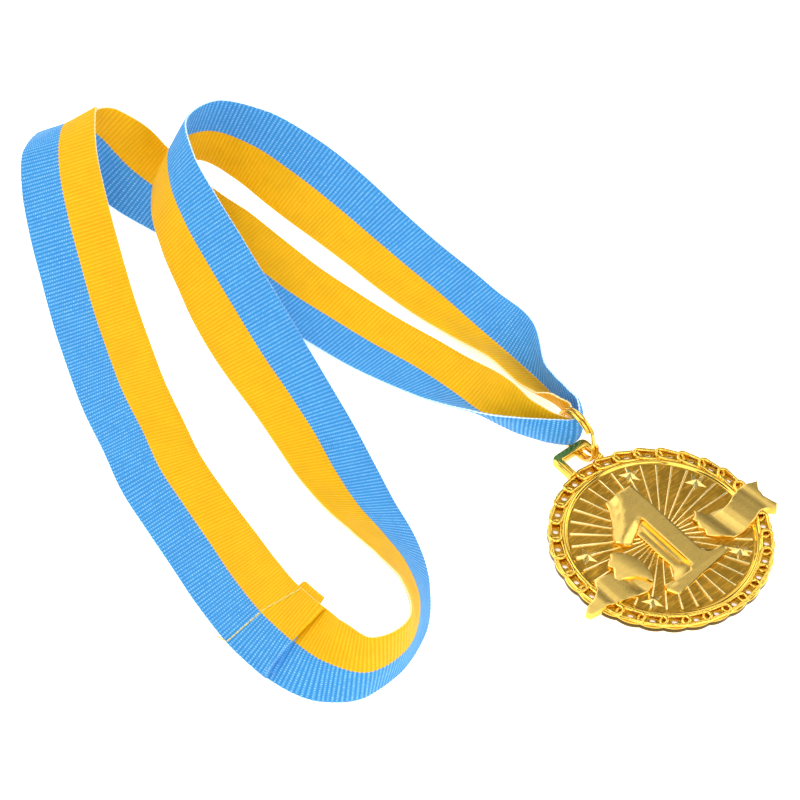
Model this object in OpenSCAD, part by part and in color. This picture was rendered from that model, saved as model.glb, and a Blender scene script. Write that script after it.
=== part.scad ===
// A cast winner's medal on a two-coloured neck ribbon, lying on a flat surface.
// The origin is on the surface, under the centre of the disc. +Y points through the eye at the top
// of the medal, +Z is up, and the front of the medal faces up.

/* [Disc] */
// Diameter over the chain rim
disc_d = 65; // [55:1:75]
// Thickness at the ridge and the rim
disc_t = 3; // [2.8:0.1:3.6]
// Depth of the recessed field below the ridge
field_drop = 1; // [0.8:0.1:1.2]
// Width of the smooth ridge around the field
ridge_w = 1.4; // [1:0.1:2]

/* [Chain rim] */
// Number of links around the rim
links = 30; // [24:2:36]
// Depth of the notch between two links
notch = 0.7; // [0.4:0.1:1]
// Length of the sunk eye in each link
eye_l = 3.6; // [2.6:0.1:4]
// Width of the sunk eye in each link
eye_w = 2.2; // [1.6:0.1:2.6]
// Metal left under the sunk eye
web_t = 0.9; // [0.6:0.1:1.4]
// Width of the hole through the eye
hole_d = 1.5; // [0.8:0.1:1.6]
// Width of the dimple between two eyes
dimple_d = 1.2; // [0.8:0.1:1.4]

/* [Relief] */
// Number of raised rays
rays = 36; // [24:4:48]
// Height of the rays above the field
ray_h = 0.4; // [0.2:0.1:0.6]
// Height of the stars above the field
star_h = 1.1; // [0.8:0.1:1.4]
// Radius of a star at its tips
star_r = 3.2; // [2.6:0.1:3.4]
// Height of the lower step of the numeral above the field
step_h = 1.1; // [0.8:0.1:1.4]
// Height of the upper step of the numeral above the lower one
face_h = 1.1; // [0.8:0.1:1.4]
// Height of the banner above the field
banner_h = 1.5; // [1.3:0.1:1.8]
// Height of the raised folds above the banner
fold_h = 0.7; // [0.4:0.1:1]

/* [Eye] */
// Width of the eye over its side bars
eye_out_w = 13; // [12:0.5:15]
// Width of the window in the eye
eye_in_w = 8.8; // [8:0.2:10]
// Distance from the centre of the disc to the outside of the top bar
eye_top = 39.8; // [39:0.1:41]
// Depth of the top bar
eye_bar = 2.7; // [2:0.1:3]
// Height of the back of the eye above the surface
eye_z = 1.8; // [1.7:0.1:2]
// Thickness of the eye
eye_t = 2.1; // [1.6:0.1:2.2]

/* [Split ring] */
// Outside diameter of the ring
ring_d = 17; // [16.8:0.1:17.2]
// Diameter of its wire
wire_d = 1.2; // [1:0.1:1.2]

/* [Ribbon] */
// Width of the ribbon
ribbon_w = 25; // [24:0.5:26]
// Thickness of the ribbon
ribbon_t = 1; // [1:0.1:1.2]
// Space between sewn layers
layer_gap = 0.3; // [0.2:0.1:0.4]

/* [Hidden] */

// Disc
rim_r = disc_d/2;
field_z = disc_t - field_drop;
link_inset = 2.5;      // how far inside the rim the middle of a link lies
eye_wall = 0.5;        // metal between a sunk eye and the ridge
link_r = rim_r - link_inset;
ridge_out = link_r - eye_w/2 - eye_wall;
ridge_in = ridge_out - ridge_w;
root = 0.5;            // how deep a relief is rooted in the metal under it
cut = 1;               // how far a cut runs past the metal
dimple_h = 1.2;
arch_steps = 6;        // sides of the arch of one link
ray_start = 4;         // distance of the rays' inner ends from the centre
ray_out = 0.6;         // width of a ray at the ridge
ray_in = 0.4;          // width of a ray at its inner end
waist = 0.42;          // radius of a star between its tips, as a share of the tips'
banner_low = 1;        // height of the banner's back above the surface

// Room cut into the rim for the ring that passes it: left side, width and depth
room_x = -1.5;
room_w = 5.5;
room_d = 0.7;

// Eye: radius of its corners, how far it reaches into the rim, and how far right its window lies
corner = 1.8;
eye_root = 1.3;
window_x = 0.4;

// Centres of the stars: [turn anticlockwise from +X, distance from the centre]
stars = [[69, 23.6], [21, 23.3], [160, 22.8], [221, 23.3], [309, 22.6]];

// Outline of the numeral's lower step, anticlockwise from the foot's lower right corner: [x, y]
numeral_step = [
    [11, -16.2], [10.8, -13.5], [7.6, -13.3], [6, -12.7], [5, -11], [5, 18.3], [-4.8, 18.4],
    [-5.8, 15.8], [-8, 12.5], [-10.3, 9.6], [-12.3, 7.3], [-12.8, 5.5], [-11.3, 3.4], [-9.3, 2.5],
    [-5.4, 4.2], [-5.4, -9.6], [-6.6, -12], [-8.2, -13.4], [-12.3, -13.8], [-12.8, -15.8],
    [-9.8, -18.4], [0, -17.3]];
// Outline of its upper step, the stem and the lit half of the flag
numeral_face = [
    [4, -15], [4, 16.3], [-1.2, 16.3], [-2.6, 13], [-6.2, 9.4], [-11.3, 4.6], [-9.4, 3],
    [-5.4, 4.7], [-1.3, 7.6], [-1.3, -13], [-3, -14.8]];

// Outline of the right half of the banner and of its raised fold
banner_right = [
    [9.8, -8.2], [10.8, -6.4], [10, -4.8], [11, -3.4], [10.4, -1.6], [12, -1], [13, 0.5], [14.8, -1.8],
    [17, -3.8], [19.5, -4.3], [22, -4], [26, -2.3], [31, -1.3], [35.3, -2.8], [33.3, -5.2], [32.8, -8],
    [33.4, -10.5], [34, -12.2], [32.3, -13.8], [30.5, -12], [28, -11.4], [24, -13], [20, -13.8],
    [15.5, -13.5], [12, -10.6]];
fold_right = [
    [17, -3.8], [19.5, -4.3], [21.6, -4.3], [20, -8.5], [19.2, -13.4], [16.8, -13.2], [17.4, -8.5]];
// Outline of the left half of the banner and of the roll that lies over it
banner_left = [
    [-36, -7.3], [-34.6, -6], [-31, -5], [-28.2, -3.4], [-26.5, -0.2], [-23, -0.8], [-19.5, -2],
    [-14, -4], [-14, -11.5], [-16.5, -12.3], [-20, -12], [-25, -10.5], [-30, -9.3], [-33, -9],
    [-35.2, -8.7]];
roll_left = [
    [-19.5, -0.6], [-20.3, 0.8], [-19, 2], [-18, 2.2], [-17, 3.5], [-15, 2.8], [-13, 1], [-11.7, -2],
    [-11.3, -5], [-12.5, -9], [-14, -11.4], [-14.8, -9.3], [-16.5, -6.8], [-19.8, -5], [-23.2, -4.8],
    [-21, -2.6]];

// Split ring: place of its centre, turn of its plane about the vertical, lean, and where it is split
wire_r = wire_d/2;
ring_r = ring_d/2 - wire_r;
ring_x = 2.75;
ring_y = 38.7;
ring_turn = -5;
ring_lean = 4;
split_at = 146;        // angle of the split, from the far side of the ring over the top
split_gap = 16;        // half the angle between the two ends
coil_gap = wire_d + 0.06;
coil_step = 7.5;       // degrees between two sections of the wire
wire_sides = 8;

// Course of the ribbon, from the upper sewn end once around to the lower one.
// x, y, z: the line where the two colours meet, in the middle of the ribbon's thickness
// lean: direction of the blue half, from the right of the course (0) upward (90)
// fold: bend along that line, 0 flat, negative with the woven front outside
// bow: how far the blue half bulges outward, as the bend along its own middle
// tuck: share of the yellow half's width taken up by gathers
// lift: layers of ribbon that lie under it
ribbon_rows = [
    // x,    y,    z,    lean,  fold, bow, tuck, lift
    // sewn end on top
    [-110.5, 31,  11,   -139, -10,   0,   0,    2],
    [-110.2, 39,  9.2,  -148,  -6,   0,   0,    2],
    [-109.4, 47,  7.7,  -152,  -3,   0,   0,    1.9],
    // left side of the loop
    [-107,  61,   6.2,  -156,  -3,   0,   0,    0.7],
    [-104,  75,   5.6,  -159, -14,   0,   0,    0.1],
    [-101,  90,   5.4,  -159, -20,   0,   0,    0],
    [-98,   104,  5.3,  -159, -20,   0,   0,    0],
    [-93,   118,  5,    -161, -21,   0,   0,    0],
    [-88,   133,  4.4,  -163, -12,   0,   0,    0],
    [-82,   147,  3.8,  -165,  -2,   0,   0,    0],
    [-76,   161,  5,    -165,   0,   0,   0,    0],
    // curl at the far left corner
    [-70,   174.5, 8.5, -161,   2,   0,   0,    0],
    [-64,   188.5, 14.5, -158,  0,   0,   0,    0],
    [-57.3, 201,  18.5, -154,   2,   0,   0,    0],
    [-50,   210.4, 20.4, -150,  5,   0,   0,    0],
    [-42,   216.2, 17.6, -133,  6,   0,   0,    0],
    [-35.4, 210.8, 13.4,  -85,  5,   0,   0,    0],
    [-32.6, 197.3, 7.1,   -34,  9,   0,   0,    0],
    // lower strand toward the ring
    [-27,   180,  1.4,    -3,   3,   0,   0,    0],
    [-25.4, 165,  0.8,     5, -14,   0,   0,    0],
    [-24.5, 150,  0.8,     7, -18,   0,   0,    0],
    [-23,   135,  0.8,     7, -16,   0,   0,    0],
    [-20,   120,  0.8,     7, -12,   0,   0,    0],
    [-17,   105,  1.2,     8, -11,   0,   0,    0],
    [-14.5, 91,   3,      12, -14,   0,   0,    0],
    [-12.8, 77,   4.2,    26, -36,   0,   0,    0],
    [-11,   64,   4,      50, -90,   0,   0,    0],
    [-7.5,  54.5, 3.2,    68, -138,  6,   0,    0],
    // hairpin through the ring
    [-4.4,  49,   2.9,    77, -154, 12,   0.08, 0],
    [-1.5,  44.6, 2.8,    84, -162, 15,   0.18, 0],
    [3.1,   40.9, 2.7,    88, -168, 15,   0.25, 0],
    [7.9,   44.7, 2.8,    94, -172, 12,   0.2,  0],
    [9.4,   49,   2.5,    99, -164,  6,   0.08, 0],
    [10.8,  54.5, 1.8,   102, -148,  0,   0,    0],
    // upper strand away from the ring
    [12.2,  63,   1.2,    97, -134,  0,   0,    0],
    [12.2,  77,   1,      54, -90,   0,   0,    0],
    [11.7,  92,   1.1,    20, -43,   0,   0,    0],
    [11.3,  107,  1.6,    12, -19,   0,   0,    0],
    [10.5,  122,  1.8,    10, -9,    0,   0,    0],
    [9.4,   137,  2.8,    15, -9,    0,   0,    0],
    [7.4,   152,  5.2,    30, -11,   0,   0,    0],
    [3.9,   166,  8.9,    49, -7,    0,   0,    0],
    [-1.7,  179,  13.7,   70, -4,    0,   0,    0],
    // standing bend at the far end
    [-11,   188.5, 18,    90,  0,    0,   0,    0],
    [-25,   188.5, 20.5, 107, -3,    0,   0,    0],
    [-35,   177,  20.8,  123, -9,    0,   0,    0],
    [-40.5, 163,  18.6,  139, -18,   0,   0,    0],
    // strand that crosses over the lower one
    [-43.6, 148,  14.8,  151, -19,   0,   0,    0],
    [-46,   133,  10.5,  157, -4,    0,   0,    0],
    [-48.3, 118,  6.5,   165,  6,    0,   0,    0],
    [-50.5, 103,  4,     180,  0,    0,   0,    0],
    [-53.5, 89,   3,     186, -1,    0,   0,    0],
    [-57.7, 75,   2.8,   188,  7,    0,   0,    0],
    [-61.8, 60.5, 4.4,   198,  7,    0,   0,    0],
    [-65,   46,   8,     214, -3,    0,   0,    0],
    [-69,   32,   11.4,  237, -18,   0,   0,    0],
    // standing bend at the near end
    [-76,   18.8, 13.1,  259, -20,   0,   0,    0],
    [-88,   9.7,  13.2,  276, -10,   0,   0,    0],
    [-102,  9.8,  13.1,  274, -17,   0,   0,    0],
    [-109,  19.5, 12.8,  247, -18,   0,   0,    0],
    // sewn end underneath
    [-110.5, 31,  11,    221, -10,   0,   0,    0],
    [-110.2, 39,  9.2,   212, -6,    0,   0,    0],
    [-109.4, 47,  7.5,   208, -3,    0,   0,    0]];
ring_every = 4;        // sections of the ribbon between two rows
seam_back = 8;         // sections of the turned-back layer
peek = 2.2;            // how far the turned-back layer shows past the yellow edge
spike = 0.55;          // furthest a sharp fold stands out, in thicknesses
half_w = ribbon_w/2;

// Smooth curve through a table's rows at place u, counted in rows
function pick(t, i) = t[max(0, min(len(t) - 1, i))];
function curve(t, u) =
    let (i = min(len(t) - 2, floor(u)), f = u - i,
         a = pick(t, i - 1), b = pick(t, i), c = pick(t, i + 1), d = pick(t, i + 2))
    b + (c - a)*f/2 + (2*a - 5*b + 4*c - d)*f*f/2 + (3*b - a - 3*c + d)*f*f*f/2;
function place(v) = [v.x, v.y, v.z];
function unit(v) = v/norm(v);

// Directions in the plane across the course: along a strip of the section, and out of its woven front
function across(side, up, angle) = side*cos(angle) + up*sin(angle);
function front(side, up, angle, sign) = sign*(side*sin(angle) - up*cos(angle));
// Five points across, yellow edge to blue edge, each moved off the middle by "off" toward the woven front
function section(u, off, push, slide) =
    let (r = curve(ribbon_rows, u),
         ahead = unit(place(curve(ribbon_rows, u + 0.05)) - place(curve(ribbon_rows, u - 0.05))),
         side = unit([ahead.y, -ahead.x, 0]), up = cross(side, ahead),
         yellow = r[3] + 180 + r[4], blue = r[3], bow = r[5], quarter = half_w/2,
         line = place(r) + ahead*push + across(side, up, yellow)*slide,
         d = off + r[7]*(ribbon_t + layer_gap),
         y1 = line + across(side, up, yellow)*quarter*(1 - r[6]),
         y2 = line + across(side, up, yellow)*half_w*(1 - r[6]),
         b1 = line + across(side, up, blue - bow)*quarter,
         b2 = b1 + across(side, up, blue + bow)*quarter,
         ny = front(side, up, yellow, -1),
         n1 = front(side, up, blue - bow, 1), n2 = front(side, up, blue + bow, 1))
    [y2 + ny*d, y1 + ny*d, miter(line, ny, n1, d), miter(b1, n1, n2, d), b2 + n2*d];
function miter(p, n1, n2, off) =
    let (m = unit(n1 + n2), reach = abs(off)/max(0.1, m*n1))
    p + m*sign(off)*(off > 0 ? min(reach, max(off, spike*ribbon_t)) : min(reach, 5*ribbon_t));
// Closed ring of ten points around a section whose front and back lie at the given distances
function band(u, front_off, back_off, front_push=0, back_push=0, slide=0) =
    let (f = section(u, front_off, front_push, slide), b = section(u, back_off, back_push, slide))
    [for (k = [0:4]) f[k], for (k = [4:-1:0]) b[k]];

// Skin of a tube of closed rings, with flat ends
function tube_faces(n, sides) = [
    for (i = [0:n - 2]) for (k = [0:sides - 1])
        let (a = i*sides + k, b = i*sides + (k + 1)%sides)
        each [[a, b, b + sides], [a, b + sides, a + sides]],
    [for (k = [sides - 1:-1:0]) k],
    [for (k = [0:sides - 1]) (n - 1)*sides + k]];
function flat_list(rings) = [for (r = rings) each r];

module prism(points, from, to) {
    translate([0, 0, from]) linear_extrude(to - from) polygon(points);
}

// Oval outline, long way along Y
function oval(l, w, n) = [for (k = [0:n - 1]) [w/2*cos(k*360/n), l/2*sin(k*360/n)]];

// Outer outline of the chain rim: one shallow arch a link
function rim_radius(s) = rim_r - notch*s*s;
rim_outline = [for (i = [0:links - 1]) for (k = [0:arch_steps - 1])
    let (s = (k + 0.5)/arch_steps*2 - 1, angle = 90 + (i + s/2)*360/links)
    rim_radius(s)*[cos(angle), sin(angle)]];

module chain_rim() {
    difference() {
        prism(rim_outline, 0, disc_t);
        translate([room_x, rim_r - room_d, -cut]) cube([room_w, room_d + cut, disc_t + 2*cut]);
        translate([0, 0, -cut]) cylinder(r=ridge_out - root, h=disc_t + 2*cut, $fn=120);
        for (i = [0:links - 1]) rotate(90 + i*360/links) {
            translate([link_r, 0, 0]) {
                prism(oval(eye_l, eye_w, 12), web_t, disc_t + cut);
                translate([0, 0, -cut]) cylinder(d=hole_d, h=disc_t + 2*cut, $fn=24);
            }
            rotate(180/links) translate([link_r, 0, disc_t - dimple_h])
                cylinder(d=dimple_d, h=dimple_h + cut, $fn=24);
        }
    }
}

module ridge() {
    difference() {
        cylinder(r=ridge_out, h=disc_t, $fn=120);
        translate([0, 0, field_z]) cylinder(r=ridge_in, h=disc_t, $fn=120);
    }
}

module sun_rays() {
    end = ridge_in + root;
    for (i = [0:rays - 1]) rotate(i*360/rays)
        prism([[ray_start, -ray_in/2], [end, -ray_out/2], [end, ray_out/2], [ray_start, ray_in/2]],
            field_z - root, field_z + ray_h);
}

// Five-pointed star with a ridge to each tip
module star() {
    tips = [for (k = [0:9]) (k%2 == 0 ? star_r : star_r*waist)*[cos(90 + k*36), sin(90 + k*36)]];
    foot = root + 0.1;
    points = [for (p = tips) [p.x, p.y, 0], for (p = tips) [p.x, p.y, foot], [0, 0, root + star_h]];
    polyhedron(points, [
        [for (k = [0:9]) k],
        for (k = [0:9]) [k, k + 10, (k + 1)%10 + 10],
        for (k = [0:9]) [k, (k + 1)%10 + 10, (k + 1)%10],
        for (k = [0:9]) [k + 10, 20, (k + 1)%10 + 10]]);
}

module eye_plate() {
    low = rim_r - eye_root;
    half = eye_out_w/2;
    window = eye_in_w/2;
    outline = [
        [-half, low], [half, low],
        for (k = [0:4]) [half - corner, eye_top - corner] + corner*[cos(k*22.5), sin(k*22.5)],
        for (k = [4:8]) [corner - half, eye_top - corner] + corner*[cos(k*22.5), sin(k*22.5)]];
    difference() {
        prism(outline, eye_z, eye_z + eye_t);
        translate([window_x - window, low - cut, 0])
            cube([eye_in_w, eye_top - eye_bar - low + cut, eye_z + eye_t + cut]);
    }
}

module medal() {
    banner_z = field_z + banner_h;
    color("goldenrod") {
        chain_rim();
        ridge();
        sun_rays();
        for (s = stars) rotate(s[0]) translate([s[1], 0, field_z - root]) rotate(-s[0]) star();
        prism(numeral_step, field_z - root, field_z + step_h);
        prism(numeral_face, field_z - root, field_z + step_h + face_h);
        prism(banner_right, banner_low, banner_z);
        prism(fold_right, field_z - root, banner_z + fold_h);
        prism(banner_left, banner_low, banner_z);
        prism(roll_left, field_z - root, banner_z + fold_h);
        eye_plate();
    }
}

// Two flat coils side by side, joined by a jog where the ring is split
function jog(a) = let (f = max(0, min(1, (a - 360 + split_gap)/(2*split_gap)))) f*f*(3 - 2*f) - 0.5;
module split_ring() {
    turns = [for (a = [split_gap:coil_step:720 - split_gap + 0.1]) a];
    rings = [for (a = turns) let (t = split_at - a) [for (k = [0:wire_sides - 1])
        let (w = (k + 0.5)*360/wire_sides, r = ring_r + wire_r*cos(w))
        [jog(a)*coil_gap - wire_r*sin(w), r*cos(t), r*sin(t)]]];
    color("gold")
        translate([ring_x, ring_y, ring_d/2 + coil_gap/2*sin(ring_lean)])
            rotate([0, -ring_lean, ring_turn])
            polyhedron(flat_list(rings), tube_faces(len(turns), wire_sides));
}

module ribbon() {
    last = len(ribbon_rows) - 1;
    t = ribbon_t/2;
    g = layer_gap/2;
    run = [for (i = [0:last*ring_every]) band(i/ring_every, t, -t)];
    turn = [for (a = [45:45:135])
        band(last, t + g - g*cos(a), t + g - (g + 2*t)*cos(a), g*sin(a), (g + 2*t)*sin(a), peek*a/180)];
    back = [for (i = [0:seam_back]) band(last - i/ring_every, t + 2*g, 3*t + 2*g, slide=peek)];
    rings = concat(run, turn, back);
    color("cornflowerblue") polyhedron(flat_list(rings), tube_faces(len(rings), 10));
}

medal();
split_ring();
ribbon();
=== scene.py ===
"""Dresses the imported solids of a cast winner's medal, its split ring and its two-coloured neck ribbon.

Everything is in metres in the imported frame: the medal lies on its back at the origin, +Y runs
through the eye at its top and +Z is up. Tables are in millimetres and degrees.
"""

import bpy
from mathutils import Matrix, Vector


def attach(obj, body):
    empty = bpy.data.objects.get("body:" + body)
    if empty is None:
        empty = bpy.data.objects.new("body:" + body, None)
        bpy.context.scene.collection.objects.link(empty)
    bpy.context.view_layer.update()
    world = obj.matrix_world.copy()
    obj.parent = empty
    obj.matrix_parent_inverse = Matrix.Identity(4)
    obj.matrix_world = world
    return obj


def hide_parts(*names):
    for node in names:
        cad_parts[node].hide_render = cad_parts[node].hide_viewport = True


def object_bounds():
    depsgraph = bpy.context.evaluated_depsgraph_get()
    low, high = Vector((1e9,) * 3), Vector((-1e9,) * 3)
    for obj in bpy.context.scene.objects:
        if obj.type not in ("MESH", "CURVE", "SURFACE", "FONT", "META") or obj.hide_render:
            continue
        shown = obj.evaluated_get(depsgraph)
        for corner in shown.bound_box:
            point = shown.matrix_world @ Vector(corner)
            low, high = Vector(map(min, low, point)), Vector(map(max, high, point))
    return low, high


bl_info = {
    "name": "Winner's Medal on a Neck Ribbon",
    "version": (1, 0, 0),
    "blender": (4, 5, 0),
    "location": "3D View > Sidebar > Medal",
    "description": "Builds a cast medal, its split ring and its ribbed neck ribbon over the packed solids",
    "category": "Object",
}

import math
from bisect import bisect_left
from collections import namedtuple

import bmesh
import bpy
from bpy.props import FloatProperty, FloatVectorProperty, PointerProperty
from mathutils import Matrix, Vector

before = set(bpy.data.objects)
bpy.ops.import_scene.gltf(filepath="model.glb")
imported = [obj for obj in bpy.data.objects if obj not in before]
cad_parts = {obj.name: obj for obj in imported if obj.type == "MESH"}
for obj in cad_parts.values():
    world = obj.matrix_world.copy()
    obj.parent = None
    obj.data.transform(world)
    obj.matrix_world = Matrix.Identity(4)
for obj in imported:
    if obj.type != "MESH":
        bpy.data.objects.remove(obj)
CAD_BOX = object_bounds()

MM = 0.001

# Course of the ribbon, from the upper sewn end once around to the lower one, as in the solids.
# x, y, z: the line where the two colours meet. lean: direction of the blue half, from the right of
# the course upward. fold: bend along that line. bow: bulge of the blue half. tuck: share of the
# yellow half taken up by gathers. lift: layers that lie under it.
RibbonRow = namedtuple("RibbonRow", "x y z lean fold bow tuck lift", defaults=(0, 0, 0))
RIBBON_ROWS = [RibbonRow(*row) for row in (
    # x,     y,     z,    lean, fold, bow, tuck, lift
    # sewn end on top
    (-110.5, 31,    11,   -139, -10, 0,   0,    2),
    (-110.2, 39,    9.2,  -148, -6,  0,   0,    2),
    (-109.4, 47,    7.7,  -152, -3,  0,   0,    1.9),
    # left side of the loop
    (-107,   61,    6.2,  -156, -3,  0,   0,    0.7),
    (-104,   75,    5.6,  -159, -14, 0,   0,    0.1),
    (-101,   90,    5.4,  -159, -20),
    (-98,    104,   5.3,  -159, -20),
    (-93,    118,   5,    -161, -21),
    (-88,    133,   4.4,  -163, -12),
    (-82,    147,   3.8,  -165, -2),
    (-76,    161,   5,    -165, 0),
    # curl at the far left corner
    (-70,    174.5, 8.5,  -161, 2),
    (-64,    188.5, 14.5, -158, 0),
    (-57.3,  201,   18.5, -154, 2),
    (-50,    210.4, 20.4, -150, 5),
    (-42,    216.2, 17.6, -133, 6),
    (-35.4,  210.8, 13.4, -85,  5),
    (-32.6,  197.3, 7.1,  -34,  9),
    # lower strand toward the ring
    (-27,    180,   1.4,  -3,   3),
    (-25.4,  165,   0.8,  5,    -14),
    (-24.5,  150,   0.8,  7,    -18),
    (-23,    135,   0.8,  7,    -16),
    (-20,    120,   0.8,  7,    -12),
    (-17,    105,   1.2,  8,    -11),
    (-14.5,  91,    3,    12,   -14),
    (-12.8,  77,    4.2,  26,   -36),
    (-11,    64,    4,    50,   -90),
    (-7.5,   54.5,  3.2,  68,   -138,6,   0,    0),
    # hairpin through the ring
    (-4.4,   49,    2.9,  77,   -154,12,  0.08, 0),
    (-1.5,   44.6,  2.8,  84,   -162,15,  0.18, 0),
    (3.1,    40.9,  2.7,  88,   -168,15,  0.25, 0),
    (7.9,    44.7,  2.8,  94,   -172,12,  0.2,  0),
    (9.4,    49,    2.5,  99,   -164,6,   0.08, 0),
    (10.8,   54.5,  1.8,  102,  -148),
    # upper strand away from the ring
    (12.2,   63,    1.2,  97,   -134),
    (12.2,   77,    1,    54,   -90),
    (11.7,   92,    1.1,  20,   -43),
    (11.3,   107,   1.6,  12,   -19),
    (10.5,   122,   1.8,  10,   -9),
    (9.4,    137,   2.8,  15,   -9),
    (7.4,    152,   5.2,  30,   -11),
    (3.9,    166,   8.9,  49,   -7),
    (-1.7,   179,   13.7, 70,   -4),
    # standing bend at the far end
    (-11,    188.5, 18,   90,   0),
    (-25,    188.5, 20.5, 107,  -3),
    (-35,    177,   20.8, 123,  -9),
    (-40.5,  163,   18.6, 139,  -18),
    # strand that crosses over the lower one
    (-43.6,  148,   14.8, 151,  -19),
    (-46,    133,   10.5, 157,  -4),
    (-48.3,  118,   6.5,  165,  6),
    (-50.5,  103,   4,    180,  0),
    (-53.5,  89,    3,    186,  -1),
    (-57.7,  75,    2.8,  188,  7),
    (-61.8,  60.5,  4.4,  198,  7),
    (-65,    46,    8,    214,  -3),
    (-69,    32,    11.4, 237,  -18),
    # standing bend at the near end
    (-76,    18.8,  13.1, 259,  -20),
    (-88,    9.7,   13.2, 276,  -10),
    (-102,   9.8,   13.1, 274,  -17),
    (-109,   19.5,  12.8, 247,  -18),
    # sewn end underneath
    (-110.5, 31,    11,   221,  -10),
    (-110.2, 39,    9.2,  212,  -6),
    (-109.4, 47,    7.5,  208,  -3))]

COURSE_STEPS = 48  # straight steps between two rows of the table when lengths are measured


def ease(t):
    """Smooth step from 0 to 1."""
    t = max(0.0, min(1.0, t))
    return t * t * (3 - 2 * t)


def course(u):
    """Row of the ribbon's course at place u, on a smooth curve through the table."""
    last = len(RIBBON_ROWS) - 1
    i = min(last - 1, max(0, int(math.floor(u))))
    f = u - i
    around_u = (RIBBON_ROWS[max(0, min(last, k))] for k in (i - 1, i, i + 1, i + 2))
    return RibbonRow(*(
        q + (r - p) * f / 2 + (2 * p - 5 * q + 4 * r - s) * f * f / 2
        + (3 * q - p - 3 * r + s) * f ** 3 / 2
        for p, q, r, s in zip(*around_u)))


def line_point(u):
    """Point of the colour line at place u, in millimetres."""
    row = course(u)
    return Vector((row.x, row.y, row.z))


class Section:
    """The ribbon's cross-section at one place of its course."""

    def __init__(self, u):
        self.row = course(u)
        self.line = line_point(u)
        self.ahead = (line_point(u + 0.05) - line_point(u - 0.05)).normalized()
        self.side = Vector((self.ahead.y, -self.ahead.x, 0)).normalized()
        self.up = self.side.cross(self.ahead)

    def heading(self, s, half):
        """Direction across the ribbon toward its blue edge, in radians, at s from the colour line."""
        row = self.row
        zone = 0.9 + 4 * max(0.0, 1 - abs(row.fold) / 90)
        angle = row.lean + row.fold * (1 - ease((s + zone) / (2 * zone)))
        if s > 0:
            angle += row.bow * (4 * s / half - 2) * ease(s)
        return math.radians(angle)

    def toward_blue(self, s, half):
        """Direction in the cloth toward its blue edge at s."""
        a = self.heading(s, half)
        return self.side * math.cos(a) + self.up * math.sin(a)

    def outward(self, s, half):
        """Direction in the cloth toward the edge nearest to s."""
        return self.toward_blue(s, half) * (1 if s > 0 else -1)

    def front(self, s, half):
        """Outward direction of the woven front at s."""
        a = self.heading(s, half)
        return self.side * math.sin(a) - self.up * math.cos(a)

    def across(self, spots, half, step=0.25):
        """Middle points and front directions at the given distances from the colour line."""
        found = {}
        for way in (-1, 1):
            wanted = sorted((s for s in spots if s * way > 0), key=abs)
            shrink = 1 - self.row.tuck if way < 0 else 1
            point, s = self.line.copy(), 0.0
            for goal in wanted:
                while abs(s - goal) > 1e-6:
                    d = way * min(step, abs(goal - s))
                    point = point + self.toward_blue(s + d / 2, half) * d * shrink
                    s += d
                found[goal] = point
        return [found.get(s, self.line) for s in spots], [self.front(s, half) for s in spots]


def course_places(spacing):
    """Places u at equal distances along the colour line."""
    lengths, before = [0.0], line_point(0)
    for i in range(1, (len(RIBBON_ROWS) - 1) * COURSE_STEPS + 1):
        point = line_point(i / COURSE_STEPS)
        lengths.append(lengths[-1] + (point - before).length)
        before = point
    count = int(round(lengths[-1] / spacing))
    places = []
    for k in range(count + 1):
        goal = lengths[-1] * k / count
        i = max(1, bisect_left(lengths, goal))
        a, b = lengths[i - 1], lengths[min(i, len(lengths) - 1)]
        places.append((i - 1 + (goal - a) / max(1e-9, b - a)) / COURSE_STEPS)
    return places


# Sizes and colours

def colour(name, where, default):
    return FloatVectorProperty(
        name=name, description="Colour of the " + where, subtype="COLOR", size=3,
        default=default, min=0, max=1)


def length(name, description, default, low=0.0, high=10.0):
    return FloatProperty(
        name=name, description=description, default=default, min=low, max=high, unit="LENGTH")


def angle(name, description, default):
    return FloatProperty(name=name, description=description, default=default, subtype="ANGLE")


class RibbonSizes(bpy.types.PropertyGroup):
    """Sizes and colours of the neck ribbon"""
    width: length("Width", "Width of the ribbon", 0.025, 0.015, 0.04)
    thickness: length("Thickness", "Thickness between two ribs", 0.0007, 0.0003, 0.001)
    rib_pitch: length("Rib pitch", "Distance from one rib to the next", 0.0012, 0.0006, 0.003)
    rib_depth: length("Rib depth", "How far a rib swells on each side", 0.00008, 0, 0.0003)
    blue: colour("Blue", "blue half", (0.026, 0.235, 0.46))
    yellow: colour("Yellow", "yellow half", (0.60, 0.345, 0.001))
    thread: colour("Thread", "sewing thread", (0.74, 0.62, 0.12))


class MetalSizes(bpy.types.PropertyGroup):
    """Sizes and colours of the cast metal"""
    polished: colour("Polished gold", "polished relief", (0.84, 0.55, 0.09))
    satin: colour("Satin gold", "satin field", (0.39, 0.215, 0.024))
    relief: colour("Relief gold", "numeral and the banner", (0.68, 0.47, 0.12))
    # painted shade: a darker, deeper gold for the floor of the rim's recesses, standing for the shade and
    # warm reflected light there
    recess_shade: colour("Recess gold", "depth of the pierced rim", (0.58, 0.33, 0.025))
    # painted highlight: a paler gold so that the rays and stars show white glints
    bright: colour("Bright gold", "burnished rays and stars", (1.0, 0.83, 0.38))
    # painted reflection: the side gold is darkened to stand for the dark room mirrored in the rim's outer
    # side
    side: colour("Side gold", "rim's darkened side", (0.10, 0.06, 0.012))
    wire: length("Ring wire", "Diameter of the split ring's wire", 0.0012, 0.0006, 0.002)
    ring: length("Ring diameter", "Outside diameter of the split ring", 0.017, 0.012, 0.02)


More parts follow.
